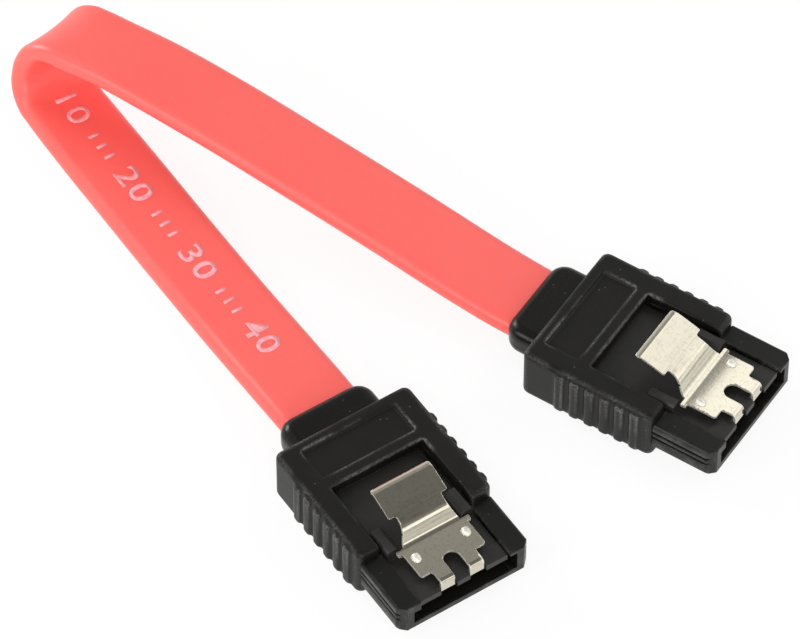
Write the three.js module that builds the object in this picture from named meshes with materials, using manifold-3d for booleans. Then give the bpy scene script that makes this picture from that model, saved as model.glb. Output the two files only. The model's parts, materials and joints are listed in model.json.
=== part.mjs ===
import * as THREE from 'three';
import { mergeVertices } from 'three/addons/utils/BufferGeometryUtils.js';
import Module from 'manifold-3d';

// A short flat data cable with a straight seven-way plug moulded on each end, in millimetres.
// Each plug is drawn with its mating direction along +X, its width along Y and its underside
// on z = 0; x = 0 is the front face of the hood. The flat cable folds over once, so that the
// spring clips of both plugs face up when the cable lies on a table.

const fit = 0.1;               // clearance between pieces that are pressed or moulded together
const slip = 0.14;             // clearance beside a piece that moves
const past = 1;                // how far a cutting shape runs past the surface that it cuts

// Mating shell: the narrow front of the plug.
const shellWidth = 15;
const shellReach = 6.9;        // how far the shell stands out of the hood
const shellBase = 1.5;         // height of the shell's underside
const shellHeight = 3.4;
const shellEdge = 0.25;        // chamfer along the top and bottom edges
const shellNose = 0.8;         // chamfer of the front corners
const tailWidth = 12.8;        // the part of the shell that the hood hides
const tailLength = 9.5;
const tailHeight = 2.9;
const railWidth = 0.4;         // the ridge along each side, between two fine grooves
const railHeight = 1.75;       // height of the ridge above the underside
const grooveWidth = 0.22;
const grooveDepth = 0.35;

// Mouth of the shell: a long slot whose key leg turns up at the left end.
const mouthWidth = 11.8;
const mouthFloor = 0.7;        // thickness of the lower lip
const mouthHeight = 1.6;
const roofGap = 10.2;          // the gap in the shell's roof that the carrier's deck fills
const keyHeight = 0.65;
const keyDepth = 5.2;

// Contact carrier: the insert with the deck under the clip.
const deckThickness = 0.7;
const deckSetback = 0.35;      // the deck ends this far behind the shell's front face
const blockFront = 0.5;        // the solid back of the slot, behind the hood's front face
const guardLength = 3;         // the chamfered blocks beside the clip's neck
const guardFront = 0.75;
const guardInner = 3.55;
const guardWidth = 1.4;
const guardHeight = 1.15;
const guardChamfer = 0.45;

// Contacts: seven springs in channels under the deck.
const contactCount = 7;
const contactPitch = 1.27;
const contactWidth = 0.6;
const contactThickness = 0.2;
const contactTail = 1.3;       // solder tail behind the carrier
const contactReach = 5.2;      // x of the contact's front tip
const contactDip = 0.7;        // how far the contact point bows into the slot
const contactBow = [           // the bow as shares of the reach and of the dip
  [0, 0], [0.35, 0.35], [0.65, 1], [0.85, 0.6], [1, 0.05],
];
const contactSteps = 9;
const channelDepth = 0.4;

// Hood: the moulding that is gripped.
const hoodLength = 15;
const hoodWidth = 15.5;
const hoodHeight = 6.1;
const hoodEdge = 0.5;
const hoodCorner = 0.8;
const windowLength = 8.5;      // the opening over the clip, open to the front
const windowWidth = 10.6;
const padLength = 3.8;         // the shallow framed pad behind the window
const padWidth = 10.6;
const padDepth = 0.35;
const padCorner = 0.35;
const padBar = 1.4;            // the bar between window and pad
const ribCount = 6;            // grip ribs on each side
const ribPitch = 1.72;
const ribStart = 1.9;          // middle of the first rib behind the hood's front face
const ribWidth = 1.2;
const ribProud = 0.38;
const ribBase = 0.35;
const ribHeight = 5;
const pocketSlack = 1.2;       // room behind the solder tails

// Collar: the lower slab that grips the cable behind the hood.
const collarLength = 3.8;
const collarWidth = 10.5;
const collarBase = 1.5;
const collarHeight = 3.5;
const collarCorner = 1.5;
const collarEdge = 0.7;
const socketDepth = 1;         // how far the cable enters the collar

// Spring clip: one stamping of stainless strip.
const clipThickness = 0.25;
const clipLift = 0.65;         // gap under the clip's plate, which the lever closes when pressed
const plateFront = 4.75;
const plateHalf = 3.7;
const plateRear = 1;
const plateCorner = 0.3;
const earHalf = 4.15;
const earLength = 0.6;
const hookFront = 6.3;
const hookInner = 0.88;
const hookOuter = 2.45;
const hookDrop = 1.3;
const hookBend = 0.35;
const hookFillet = 0.25;
const notchMiddle = 4.48;      // centre of the round end of the notch between the hooks
const leverHalf = 3.32;
const neckHalf = 2.56;
const neckStep = 1.4;          // the lever's side steps, behind the hood's front face
const stepFillet = 0.25;
const shoulder = 0.2;          // the straight side behind the ears, before the neck
const neckCurve = [            // the bitten side: behind the plate's rear edge, beyond the neck
  [0.4, 0.46], [1, 0.25], [1.5, 0.03], [2.1, 0],
];
const leverRise = 3;           // height of the lever's end above the plate
const leverEnd = 4.7;
const leverRoll = 0.25;        // how far the lever's end curls down
const leverCurve = [           // the lever's side view: behind the plate's rear edge, share of the rise
  [-0.4, 0], [-0.05, 0.016], [0.25, 0.06], [0.5, 0.13], [1.5, 0.5], [2.4, 0.74], [4.2, 0.94], [5.25, 1],
];
const notchStart = 170;        // degrees round the notch at which its round end begins
const bendSteps = 4;           // straight steps in a bend
const roundSteps = 5;          // straight steps in a round end
const cornerSteps = 3;         // straight steps in a small corner
const leverSteps = 24;
const barbPlace = 2.55;
const barbSpread = 2.85;
const barbLength = 1.3;
const barbWidth = 0.95;
const barbHeight = 0.42;

// Flat cable.
const cableWidth = 8.7;
const cableThickness = 2.2;
const cableHeight = 3.1;       // height of the cable's middle in the collar
const cableSteps = 80;
const foldAxis = new THREE.Vector3(0, 1, 0);
const cableRoute = [
  [-14.8, -12.2, 3.1], [-17.3, -11.68, 3.02], [-22.5, -10.5, 2.45], [-31.8, -8.4, 1.5],
  [-41.1, -6.45, 1.25], [-50.4, -4.5, 1.23], [-57.3, -3.1, 1.25], [-62, -2.15, 1.3],
  [-63.7, -1.8, 1.62], [-65, -1.4, 2.52], [-65.9, -0.95, 3.88], [-66.2, -0.5, 5.48],
  [-65.9, -0.1, 7.08], [-65, 0.3, 8.44], [-63.6, 0.65, 9.34], [-61.9, 1, 9.68],
  [-55.7, 2.45, 9.45], [-46.4, 4.5, 8.56], [-36.1, 6.68, 7.05], [-25.7, 8.9, 5.34],
  [-16.4, 10.8, 3.72], [-11.9, 11.7, 3.2], [-9.46, 12.2, 3.1],
];

// Where the two plugs lie: the front face of each hood and the direction it points.
const plugs = [
  { side: 'a', x: 2.83, y: -15.83, turn: -11.62 },
  { side: 'b', x: 8.17, y: 15.83, turn: 11.63 },
];

const mouthBase = shellBase + mouthFloor;
const mouthRoof = mouthBase + mouthHeight;
const deckTop = mouthRoof + deckThickness;
const clipBase = deckTop + clipLift;
const clipMiddle = clipBase + clipThickness / 2;
const tailTop = shellBase + tailHeight;

const wasm = await Module();
wasm.setup();

// A closed three.js geometry as a solid for joining and cutting, and back again.
function solidOf(geometry) {
  const bare = geometry.clone();
  bare.deleteAttribute('normal');
  bare.deleteAttribute('uv');
  const merged = mergeVertices(bare, 1e-5);
  return new wasm.Manifold(new wasm.Mesh({
    numProp: 3,
    vertProperties: Float32Array.from(merged.attributes.position.array),
    triVerts: Uint32Array.from(merged.index.array),
  }));
}

function geometryOf(solid) {
  const mesh = solid.getMesh();
  const geometry = new THREE.BufferGeometry();
  geometry.setAttribute('position', new THREE.BufferAttribute(mesh.vertProperties, 3));
  geometry.setIndex(new THREE.BufferAttribute(mesh.triVerts, 1));
  return geometry;
}

function join(first, ...others) {
  return others.reduce((sum, other) => sum.add(other), first);
}

function cut(first, ...others) {
  return others.reduce((rest, other) => rest.subtract(other), first);
}

function outlineOf(points) {
  return new THREE.Shape(points.map(([x, y]) => new THREE.Vector2(x, y)));
}

// The other half of an outline, mirrored on its first coordinate's axis.
function mirrored(half) {
  return [...half, ...half.map(([x, y]) => [x, -y]).reverse()];
}

function arc(x, y, radius, from, to, count) {
  return Array.from({ length: count + 1 }, (_, i) => {
    const angle = THREE.MathUtils.degToRad(from + (to - from) * i / count);
    return [x + radius * Math.cos(angle), y + radius * Math.sin(angle)];
  });
}

function box(xMin, xMax, yMin, yMax, zMin, zMax) {
  const geometry = new THREE.BoxGeometry(xMax - xMin, yMax - yMin, zMax - zMin);
  geometry.translate((xMin + xMax) / 2, (yMin + yMax) / 2, (zMin + zMax) / 2);
  return solidOf(geometry);
}

// An outline seen from above (x, y), raised from zMin to zMax.
function raised(outline, zMin, zMax) {
  const geometry = new THREE.ExtrudeGeometry(outline, { depth: zMax - zMin, bevelEnabled: false });
  geometry.translate(0, 0, zMin);
  return solidOf(geometry);
}

// An outline seen from the side (x, z), drawn out from yMin to yMax.
function drawnAcross(outline, yMin, yMax) {
  const geometry = new THREE.ExtrudeGeometry(outline, { depth: yMax - yMin, bevelEnabled: false });
  geometry.rotateX(Math.PI / 2);
  geometry.translate(0, yMax, 0);
  return solidOf(geometry);
}

// An outline seen from the front (y, z), drawn out from xMin to xMax.
function drawnForward(outline, xMin, xMax) {
  const geometry = new THREE.ExtrudeGeometry(outline, { depth: xMax - xMin, bevelEnabled: false });
  geometry.applyMatrix4(new THREE.Matrix4().makeBasis(
    new THREE.Vector3(0, 1, 0), new THREE.Vector3(0, 0, 1), new THREE.Vector3(1, 0, 0)));
  geometry.translate(xMin, 0, 0);
  return solidOf(geometry);
}

// A slab centred on y = 0 with round corners seen from above and round edges all over.
function softSlab(xMin, xMax, width, zMin, zMax, corner, edge) {
  const [x0, x1, y1] = [xMin + edge, xMax - edge, width / 2 - edge];
  const radius = Math.max(corner - edge, edge / 4);
  const shape = new THREE.Shape();
  shape.moveTo(x0 + radius, -y1);
  shape.lineTo(x1 - radius, -y1);
  shape.absarc(x1 - radius, -y1 + radius, radius, -Math.PI / 2, 0);
  shape.lineTo(x1, y1 - radius);
  shape.absarc(x1 - radius, y1 - radius, radius, 0, Math.PI / 2);
  shape.lineTo(x0 + radius, y1);
  shape.absarc(x0 + radius, y1 - radius, radius, Math.PI / 2, Math.PI);
  shape.lineTo(x0, -y1 + radius);
  shape.absarc(x0 + radius, -y1 + radius, radius, Math.PI, Math.PI * 1.5);
  const geometry = new THREE.ExtrudeGeometry(shape, {
    depth: zMax - zMin - 2 * edge,
    bevelEnabled: edge > 0,
    bevelThickness: edge,
    bevelSize: edge,
    bevelSegments: 3,
    curveSegments: 4,
  });
  geometry.translate(0, 0, zMin + edge);
  return solidOf(geometry);
}

// A strip of sheet metal seen from the side, of one thickness along a smooth or bent path.
function stripOutline(path, thickness) {
  const edge = sign => path.map(([x, z], i) => {
    const [before, after] = [path[Math.max(i - 1, 0)], path[Math.min(i + 1, path.length - 1)]];
    const along = new THREE.Vector2(after[0] - before[0], after[1] - before[1]).normalize();
    return [x - along.y * sign * thickness / 2, z + along.x * sign * thickness / 2];
  });
  return outlineOf([...edge(-1), ...edge(1).reverse()]);
}

function smoothPath(points, count) {
  const curve = new THREE.SplineCurve(points.map(([x, z]) => new THREE.Vector2(x, z)));
  return curve.getSpacedPoints(count).map(point => [point.x, point.y]);
}

// The side wall of the shell, from its lower edge up to its top edge, with the ridge between
// its two grooves.
function shellSide() {
  const half = shellWidth / 2;
  const ridge = shellBase + railHeight;
  const step = grooveWidth / 2;
  return [
    [half - shellEdge, shellBase],
    [half, shellBase + shellEdge],
    [half, ridge - grooveWidth - step],
    [half - grooveDepth, ridge - grooveWidth],
    [half - grooveDepth, ridge - step],
    [half, ridge],
    [half, ridge + railWidth],
    [half - grooveDepth, ridge + railWidth + step],
    [half - grooveDepth, ridge + railWidth + grooveWidth],
    [half, ridge + railWidth + grooveWidth + step],
    [half, shellBase + shellHeight - shellEdge],
    [half - shellEdge, shellBase + shellHeight],
  ];
}

function shell() {
  const right = shellSide();
  const section = [...right, ...right.map(([y, z]) => [-y, z]).reverse()];
  const front = drawnForward(outlineOf(section), 0, shellReach);
  const plan = outlineOf(mirrored([
    [shellReach, shellWidth / 2 - shellNose], [shellReach - shellNose, shellWidth / 2 + fit],
    [-fit, shellWidth / 2 + fit],
  ]));
  const tail = box(-tailLength, fit, -tailWidth / 2, tailWidth / 2, shellBase, tailTop);
  const [back, ahead] = [-tailLength - past, shellReach + past];
  const slot = box(back, ahead, -mouthWidth / 2, mouthWidth / 2, mouthBase, mouthRoof);
  const roof = box(back, ahead, -roofGap / 2, roofGap / 2, mouthBase, tailTop + past);
  const key = box(shellReach - keyDepth, ahead, roofGap / 2 - fit, mouthWidth / 2,
    mouthRoof - fit, mouthRoof + keyHeight);
  const body = front.intersect(raised(plan, 0, hoodHeight));
  return cut(join(body, tail), slot, roof, key);
}

// One block beside the clip's neck, with its top edges chamfered.
function guard() {
  const top = deckTop + guardHeight;
  const outline = outlineOf([
    [guardInner, deckTop - fit], [guardInner + guardWidth, deckTop - fit],
    [guardInner + guardWidth, top - guardChamfer / 2], [guardInner + guardWidth - guardChamfer / 2, top],
    [guardInner + guardChamfer, top], [guardInner, top - guardChamfer],
  ]);
  return drawnForward(outline, guardFront - guardLength, guardFront);
}

function contactPlaces() {
  return Array.from({ length: contactCount }, (_, i) => (i - (contactCount - 1) / 2) * contactPitch);
}

function carrier() {
  const deckEnd = shellReach - deckSetback;
  const deckHalf = roofGap / 2 - fit;
  const slotHalf = mouthWidth / 2 - fit;
  const deck = box(-tailLength, deckEnd, -deckHalf, deckHalf, mouthRoof, deckTop);
  const back = box(-tailLength, -blockFront, -slotHalf, slotHalf, mouthBase + fit, mouthRoof - fit);
  const web = box(-tailLength, -blockFront, -deckHalf, deckHalf, mouthBase + fit, deckTop);
  const block = guard();
  const channels = contactPlaces().map(y => box(
    -tailLength - past, contactReach + 2 * slip,
    y - contactWidth / 2 - fit, y + contactWidth / 2 + fit,
    mouthRoof - fit / 2, mouthRoof + channelDepth));
  const hooks = [-1, 1].map(side => {
    const [low, high] = [hookInner - slip, hookOuter + slip].map(y => y * side).sort((p, q) => p - q);
    const rear = hookFront - clipThickness - 2 * slip;
    return box(rear, deckEnd + past, low, high, mouthRoof - past, deckTop + past);
  });
  return cut(join(deck, back, web, block, block.mirror([0, 1, 0])), ...channels, ...hooks);
}

// One contact: a straight run through the carrier, then a bow whose middle meets the mating pad.
function contact(y) {
  const level = mouthRoof + fit + contactThickness / 2;
  const bow = contactBow.map(([reach, dip]) => [contactReach * reach, level - contactDip * dip]);
  const path = [[-tailLength - contactTail, level], ...smoothPath(bow, contactSteps)];
  return drawnAcross(stripOutline(path, contactThickness), y - contactWidth / 2, y + contactWidth / 2);
}

function grip(x, side) {
  const radius = 0.5;
  const geometry = new THREE.CapsuleGeometry(radius, ribHeight / ribWidth - 2 * radius, 3, 10);
  geometry.rotateX(Math.PI / 2);
  geometry.scale(ribWidth, ribProud / radius, ribWidth);
  geometry.translate(x, side * hoodWidth / 2, ribBase + ribHeight / 2);
  return solidOf(geometry);
}

// The outline of the flat cable: two faces and two round edges.
function cableOutline(clearance) {
  const round = cableThickness / 2;
  const straight = cableWidth / 2 - round;
  const radius = round + clearance;
  return outlineOf([
    ...arc(0, straight, radius, 0, 180, roundSteps),
    ...arc(0, -straight, radius, 180, 360, roundSteps),
  ]);
}

function hood() {
  const back = -hoodLength - collarLength;
  const body = softSlab(-hoodLength, 0, hoodWidth, 0, hoodHeight, hoodCorner, hoodEdge);
  const collar = softSlab(back, -hoodLength + collarCorner, collarWidth,
    collarBase, collarBase + collarHeight, collarCorner, collarEdge);
  const ribs = [-1, 1].flatMap(side => Array.from({ length: ribCount },
    (_, i) => grip(-ribStart - i * ribPitch, side)));
  const padFront = -windowLength - padBar;
  const pad = softSlab(padFront - padLength, padFront, padWidth, hoodHeight - padDepth, hoodHeight + past,
    padCorner, 0);
  const window = box(-windowLength, past, -windowWidth / 2, windowWidth / 2, tailTop, hoodHeight + past);
  const pocketHalf = tailWidth / 2 + fit;
  const pocket = box(-tailLength - contactTail - pocketSlack, past, -pocketHalf, pocketHalf,
    shellBase - fit, deckTop + fit);
  const socket = new THREE.ExtrudeGeometry(cableOutline(fit), {
    depth: socketDepth + past,
    bevelEnabled: false,
  });
  socket.rotateY(Math.PI / 2);
  socket.translate(back - past, 0, cableHeight);
  return cut(join(body, collar, ...ribs), pad, window, pocket, solidOf(socket));
}

// The clip seen from above: hooks, notch, plate, ears, bitten neck and lever.
function clipPlan() {
  const corner = (x, y, from, to) => arc(x, y, plateCorner, from, to, cornerSteps);
  const neck = neckCurve.map(([behind, beyond]) => [plateRear - behind, neckHalf + beyond]);
  return outlineOf(mirrored([
    ...arc(notchMiddle, 0, hookInner, notchStart, 90, roundSteps),
    [hookFront + past, hookInner],
    [hookFront + past, hookOuter],
    ...arc(plateFront + hookFillet, hookOuter + hookFillet, hookFillet, 270, 180, cornerSteps),
    ...corner(plateFront - plateCorner, plateHalf - plateCorner, 0, 90),
    [plateRear + earLength + hookFillet, plateHalf - hookFillet / 2],
    [plateRear + earLength, plateHalf],
    [plateRear + earLength, earHalf],
    [plateRear, earHalf],
    [plateRear, leverHalf - fit],
    [plateRear - shoulder, leverHalf - fit],
    ...smoothPath(neck, roundSteps),
    [-neckStep, neckHalf + stepFillet],
    [-neckStep, leverHalf],
    [-leverEnd - past, leverHalf],
  ]));
}

// The clip seen from the side, from the tip of the hook to the rolled end of the lever.
function clipPath() {
  const hookX = hookFront - clipThickness / 2;
  const lever = leverCurve.map(([behind, share]) => [plateRear - behind, clipMiddle + leverRise * share]);
  return [
    [hookX, clipMiddle - hookDrop],
    ...arc(hookX - hookBend, clipMiddle - hookBend, hookBend, 0, 90, bendSteps),
    ...smoothPath([...lever, [-leverEnd, clipMiddle + leverRise - leverRoll]], leverSteps),
  ];
}

function barb(side) {
  const geometry = new THREE.SphereGeometry(0.5, 12, 8);
  geometry.rotateX(Math.PI / 2);
  geometry.scale(barbLength, barbWidth, barbHeight * 2);
  geometry.translate(barbPlace, side * barbSpread, clipBase + clipThickness);
  const keep = box(barbPlace - barbLength / 4, barbPlace + barbLength,
    side * barbSpread - barbWidth, side * barbSpread + barbWidth,
    clipMiddle, clipBase + clipThickness + barbHeight * 2);
  return solidOf(geometry).intersect(keep);
}

function clip() {
  const strip = drawnAcross(stripOutline(clipPath(), clipThickness), -earHalf - past, earHalf + past);
  const plan = raised(clipPlan(), 0, clipMiddle + leverRise + past);
  return join(strip.intersect(plan), barb(-1), barb(1));
}

// The route of the flat cable. Its faces stay parallel to the fold's axis all the way, so the
// ribbon wraps over the fold without a twist.
class FoldedRoute extends THREE.CatmullRomCurve3 {
  computeFrenetFrames(segments) {
    const frames = { tangents: [], normals: [], binormals: [] };
    for (let i = 0; i <= segments; i++) {
      const tangent = this.getTangentAt(i / segments);
      const normal = new THREE.Vector3().crossVectors(tangent, foldAxis).normalize();
      frames.tangents.push(tangent);
      frames.normals.push(normal);
      frames.binormals.push(new THREE.Vector3().crossVectors(tangent, normal));
    }
    return frames;
  }
}

function flatCable() {
  const route = new FoldedRoute(cableRoute.map(point => new THREE.Vector3(...point)), false, 'centripetal');
  return solidOf(new THREE.ExtrudeGeometry(cableOutline(0), {
    steps: cableSteps,
    extrudePath: route,
    bevelEnabled: false,
  }));
}

function finish(color, roughness, metalness) {
  return new THREE.MeshStandardMaterial({ color, roughness, metalness });
}

function piece(name, solid, material) {
  const mesh = new THREE.Mesh(geometryOf(solid), material);
  mesh.name = name;
  return mesh;
}

const hoodBlack = () => finish(0x212121, 0.6, 0);
const shellBlack = () => finish(0x1c1c1c, 0.5, 0);
const carrierGrey = () => finish(0x41413f, 0.55, 0);
const springSteel = () => finish(0xb5b1a4, 0.3, 1);
const contactGold = () => finish(0xd9b45a, 0.35, 1);
const jacketRed = () => finish(0xff6961, 0.45, 0);

function plug({ side, x, y, turn }) {
  const assembly = new THREE.Group();
  assembly.add(piece(`hood_${side}`, hood(), hoodBlack()));
  assembly.add(piece(`mating_shell_${side}`, shell(), shellBlack()));
  assembly.add(piece(`contact_carrier_${side}`, carrier(), carrierGrey()));
  assembly.add(piece(`spring_clip_${side}`, clip(), springSteel()));
  contactPlaces().forEach((place, i) => {
    assembly.add(piece(`contact_${side}${i + 1}`, contact(place), contactGold()));
  });
  assembly.position.set(x, y, 0);
  assembly.rotation.z = THREE.MathUtils.degToRad(turn);
  return assembly;
}

const cable = new THREE.Group();
cable.add(...plugs.map(plug));
cable.add(piece('flat_cable', flatCable(), jacketRed()));

export default cable;
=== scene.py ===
import json
import math
import bmesh
import bpy
import numpy as np
from mathutils import Matrix, Vector


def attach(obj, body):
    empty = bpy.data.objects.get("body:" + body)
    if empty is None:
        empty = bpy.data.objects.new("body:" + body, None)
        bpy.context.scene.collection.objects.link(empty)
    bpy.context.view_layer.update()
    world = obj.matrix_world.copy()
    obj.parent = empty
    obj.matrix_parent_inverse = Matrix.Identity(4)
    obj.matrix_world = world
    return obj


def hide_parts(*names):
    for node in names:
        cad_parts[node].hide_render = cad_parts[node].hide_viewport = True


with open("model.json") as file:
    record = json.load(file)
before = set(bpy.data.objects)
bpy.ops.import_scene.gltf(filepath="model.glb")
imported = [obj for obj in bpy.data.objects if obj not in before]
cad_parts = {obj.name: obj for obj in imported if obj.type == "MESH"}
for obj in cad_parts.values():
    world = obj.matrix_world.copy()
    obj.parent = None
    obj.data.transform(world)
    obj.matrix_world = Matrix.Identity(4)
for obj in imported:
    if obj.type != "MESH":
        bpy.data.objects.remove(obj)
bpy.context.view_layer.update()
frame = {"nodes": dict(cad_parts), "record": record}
print("stage: frame loaded,", len(frame["nodes"]), "nodes")

mm = 0.001
scene = bpy.context.scene
sides = ("a", "b")
shellReach = 6.9                    # from the hood's front face to the mating face
same = 1e-4                         # points and heights closer than this count as one
overlap = 0.1                       # how deep joined solids reach into each other
past = 1                            # how far a cut runs past the face that it opens
crease = 20                         # degrees at which hard plastic and steel stop shading as round


# Each plug is modelled in millimetres with the front face of its hood at x = 0 and its mating
# direction along +X, and then goes where the mating face of the frame says.
def plugFrame(side):
    face = next(m for m in frame["record"]["mounts"] if m["name"] == "mating_face_" + side)
    ahead = Vector(face["axis"])
    front = Vector(face["pos_m"]) - ahead * shellReach * mm
    return Matrix.Translation((front.x, front.y, 0)) @ Matrix.Rotation(math.atan2(ahead.y, ahead.x), 4, "Z")


plugFrames = {side: plugFrame(side) for side in sides}


def plugBox(node):
    # lowest and highest corner of a node of plug a, in the plug's own millimetres
    back = plugFrames["a"].inverted()
    points = [back @ vertex.co / mm for vertex in frame["nodes"][node + "_a"].data.vertices]
    return [min(p[i] for p in points) for i in range(3)], [max(p[i] for p in points) for i in range(3)]


# The camera looks down on the plugs through a long lens, as the photograph does.
photo = {
    "target": (-19.62, 3.24, 0),    # the point on the table in the middle of the picture
    "azimuth": 44.8,
    "elevation": 52.0,
    "distance": 644.1,
    "lens": 292.5,                  # millimetres, as the sensor's width is
    "sensor": 36,
    "sight": 10,                    # metres that the camera sees
}


def addCamera():
    azimuth, elevation = math.radians(photo["azimuth"]), math.radians(photo["elevation"])
    level = math.cos(elevation)
    ahead = Vector((-math.sin(azimuth) * level, math.cos(azimuth) * level, -math.sin(elevation)))
    data = bpy.data.cameras.new("photoCamera")
    data.lens = photo["lens"]
    data.sensor_width = photo["sensor"]
    data.clip_end = photo["sight"]
    camera = bpy.data.objects.new("photoCamera", data)
    camera.location = (Vector(photo["target"]) - ahead * photo["distance"]) * mm
    camera.rotation_mode = "QUATERNION"
    camera.rotation_quaternion = ahead.to_track_quat("-Z", "Y")
    scene.collection.objects.link(camera)
    scene.camera = camera


addCamera()
scene.view_settings.view_transform = "Standard"
print("stage: camera")


# Colour, node and mesh helpers.
def linear(code):
    parts = [int(code[i:i + 2], 16) / 255 for i in (1, 3, 5)]
    return (*[p / 12.92 if p <= 0.04045 else ((p + 0.055) / 1.055) ** 2.4 for p in parts], 1)


def newMaterial(name):
    material = bpy.data.materials.new(name)
    material.use_nodes = True
    tree = material.node_tree
    return material, tree, tree.nodes["Principled BSDF"]


def setInputs(tree, node, values, links):
    # a link's source is a socket, or a node whose first output is meant
    for key, value in values.items():
        node.inputs[key].default_value = value
    for key, source in links.items():
        socket = source.outputs[0] if isinstance(source, bpy.types.Node) else source
        tree.links.new(socket, node.inputs[key])


def addNode(tree, kind, settings=None, values=None, links=None):
    node = tree.nodes.new("ShaderNode" + kind)
    for key, value in (settings or {}).items():
        setattr(node, key, value)
    setInputs(tree, node, values or {}, links or {})
    return node


def block(low, high):
    # a box between two corners
    bm = bmesh.new()
    size = [b - a for a, b in zip(low, high)]
    middle = [(a + b) / 2 for a, b in zip(low, high)]
    bmesh.ops.create_cube(bm, size=1, matrix=Matrix.Translation(middle) @ Matrix.Diagonal((*size, 1)))
    return bm


def roundEdges(bm, chosen, radius, segments=4):
    edges = [edge for edge in bm.edges if chosen(*[v.co for v in edge.verts])]
    bmesh.ops.bevel(bm, geom=edges, offset=radius, affect="EDGES", segments=segments, profile=0.5,
                    material=-1, clamp_overlap=True)
    return bm


def slab(low, high, corner, edge):
    # a flat slab with round corners seen from above and softer round edges above and below
    bm = block(low, high)
    roundEdges(bm, lambda p, q: abs(p.z - q.z) > same, corner, 8)
    return roundEdges(bm, lambda p, q: abs(p.z - q.z) < same, edge, 5)


def prism(outline, ahead):
    # a flat outline drawn out along a direction
    bm = bmesh.new()
    face = bm.faces.new([bm.verts.new(p) for p in outline])
    grown = bmesh.ops.extrude_face_region(bm, geom=[face])["geom"]
    bmesh.ops.translate(bm, vec=ahead, verts=[g for g in grown if isinstance(g, bmesh.types.BMVert)])
    bmesh.ops.recalc_face_normals(bm, faces=bm.faces)
    return bm


def merged(*parts):
    # several bmeshes as one, without joining their surfaces
    whole = bmesh.new()
    for part in parts:
        spare = bpy.data.meshes.new("spare")
        part.to_mesh(spare)
        whole.from_mesh(spare)
        bpy.data.meshes.remove(spare)
    return whole


def temporary(bm):
    mesh = bpy.data.meshes.new("spare")
    bm.to_mesh(mesh)
    piece = bpy.data.objects.new("spare", mesh)
    scene.collection.objects.link(piece)
    return piece


def shaped(bm, steps):
    # the mesh after a list of modifiers, each a kind and its settings; a tool is a bmesh
    body, tools = temporary(bm), []
    for kind, settings in steps:
        modifier = body.modifiers.new(kind, kind)
        for key, value in settings.items():
            if isinstance(value, bmesh.types.BMesh):
                value = temporary(value)
                tools.append(value)
            setattr(modifier, key, value)
    graph = bpy.context.evaluated_depsgraph_get()
    mesh = bpy.data.meshes.new_from_object(body.evaluated_get(graph))
    result = bmesh.new()
    result.from_mesh(mesh)
    bpy.data.meshes.remove(mesh)
    for spare in (body, *tools):
        bpy.data.meshes.remove(spare.data)
    return result


def cutAway(tool):
    return "BOOLEAN", {"operation": "DIFFERENCE", "solver": "EXACT", "object": tool}


def addOn(tool):
    return "BOOLEAN", {"operation": "UNION", "solver": "EXACT", "object": tool}


def softEdges(width, flattest=25):
    # rounds the edges that turn by more than a number of degrees
    return "BEVEL", {"width": width, "segments": 2, "limit_method": "ANGLE",
                     "angle_limit": math.radians(flattest)}


def cutPlane(bm, place, direction, clear=False):
    # cuts the faces along a plane, and with clear takes away what lies ahead of it
    bmesh.ops.bisect_plane(bm, geom=bm.verts[:] + bm.edges[:] + bm.faces[:], dist=1e-5,
                           plane_co=place, plane_no=direction, clear_outer=clear)


def gridded(bm, spacing, axes=(0, 1)):
    # cuts flat faces into cells, so that what is noted at a vertex stays close to it
    for axis in axes:
        reach = [vert.co[axis] for vert in bm.verts]
        across = Vector([float(i == axis) for i in range(3)])
        for place in np.arange(min(reach) + spacing / 2, max(reach), spacing).tolist():
            cutPlane(bm, across * place, across)
    return bm


edgeMaskTurn = {
    "from": 0.018,                  # the mean turn of a surface at which the edge mask starts: rubbing on the plastics, painted highlight on the steel
    "over": 0.05,
    "spreadRound": 2,               # rounds of spreading on a soft moulding
    "spreadSharp": 1,
}


def noteSurface(mesh, rounds):
    # keeps each vertex's own place in millimetres and how sharply its surface turns outward
    count = len(mesh.vertices)
    spot, normal = np.empty(count * 3), np.empty(count * 3)
    mesh.vertices.foreach_get("co", spot)
    mesh.vertices.foreach_get("normal", normal)
    mesh.attributes.new("plugPlace", "FLOAT_VECTOR", "POINT").data.foreach_set("vector", spot)
    ends = np.empty(len(mesh.edges) * 2, dtype=np.int32)
    mesh.edges.foreach_get("vertices", ends)
    ends, spot, normal = ends.reshape(-1, 2), spot.reshape(-1, 3), normal.reshape(-1, 3)
    turn, links = np.zeros(count), np.zeros(count)
    for here, there in ((0, 1), (1, 0)):
        step = spot[ends[:, there]] - spot[ends[:, here]]
        length = np.maximum(np.linalg.norm(step, axis=1), 1e-9)
        rise = -(step * normal[ends[:, here]]).sum(axis=1) / length
        np.add.at(turn, ends[:, here], rise)
        np.add.at(links, ends[:, here], 1)
    turn /= np.maximum(links, 1)
    for _ in range(rounds):
        spread = turn.copy()
        np.add.at(spread, ends[:, 0], turn[ends[:, 1]])
        np.add.at(spread, ends[:, 1], turn[ends[:, 0]])
        turn = spread / (links + 1)
    # the edge mask: real rubbing on the plastics, painted highlight on the steel
    edgeMask = np.clip((turn - edgeMaskTurn["from"]) / edgeMaskTurn["over"], 0, 1)
    mesh.attributes.new("edgeWearAndHighlight", "FLOAT", "POINT").data.foreach_set("value", edgeMask)


def finished(name, bm, material, matrix, body="root", sharp=None):
    # a finished piece: its place goes into its mesh, and its object stays at the origin
    mesh = bpy.data.meshes.new(name)
    bm.to_mesh(mesh)
    noteSurface(mesh, edgeMaskTurn["spreadSharp" if sharp else "spreadRound"])
    mesh.transform(matrix)
    mesh.polygons.foreach_set("use_smooth", [True] * len(mesh.polygons))
    if sharp:
        mesh.set_sharp_from_angle(angle=math.radians(sharp))
    mesh.materials.append(material)
    piece = bpy.data.objects.new(name, mesh)
    scene.collection.objects.link(piece)
    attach(piece, body)
    return piece


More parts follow.
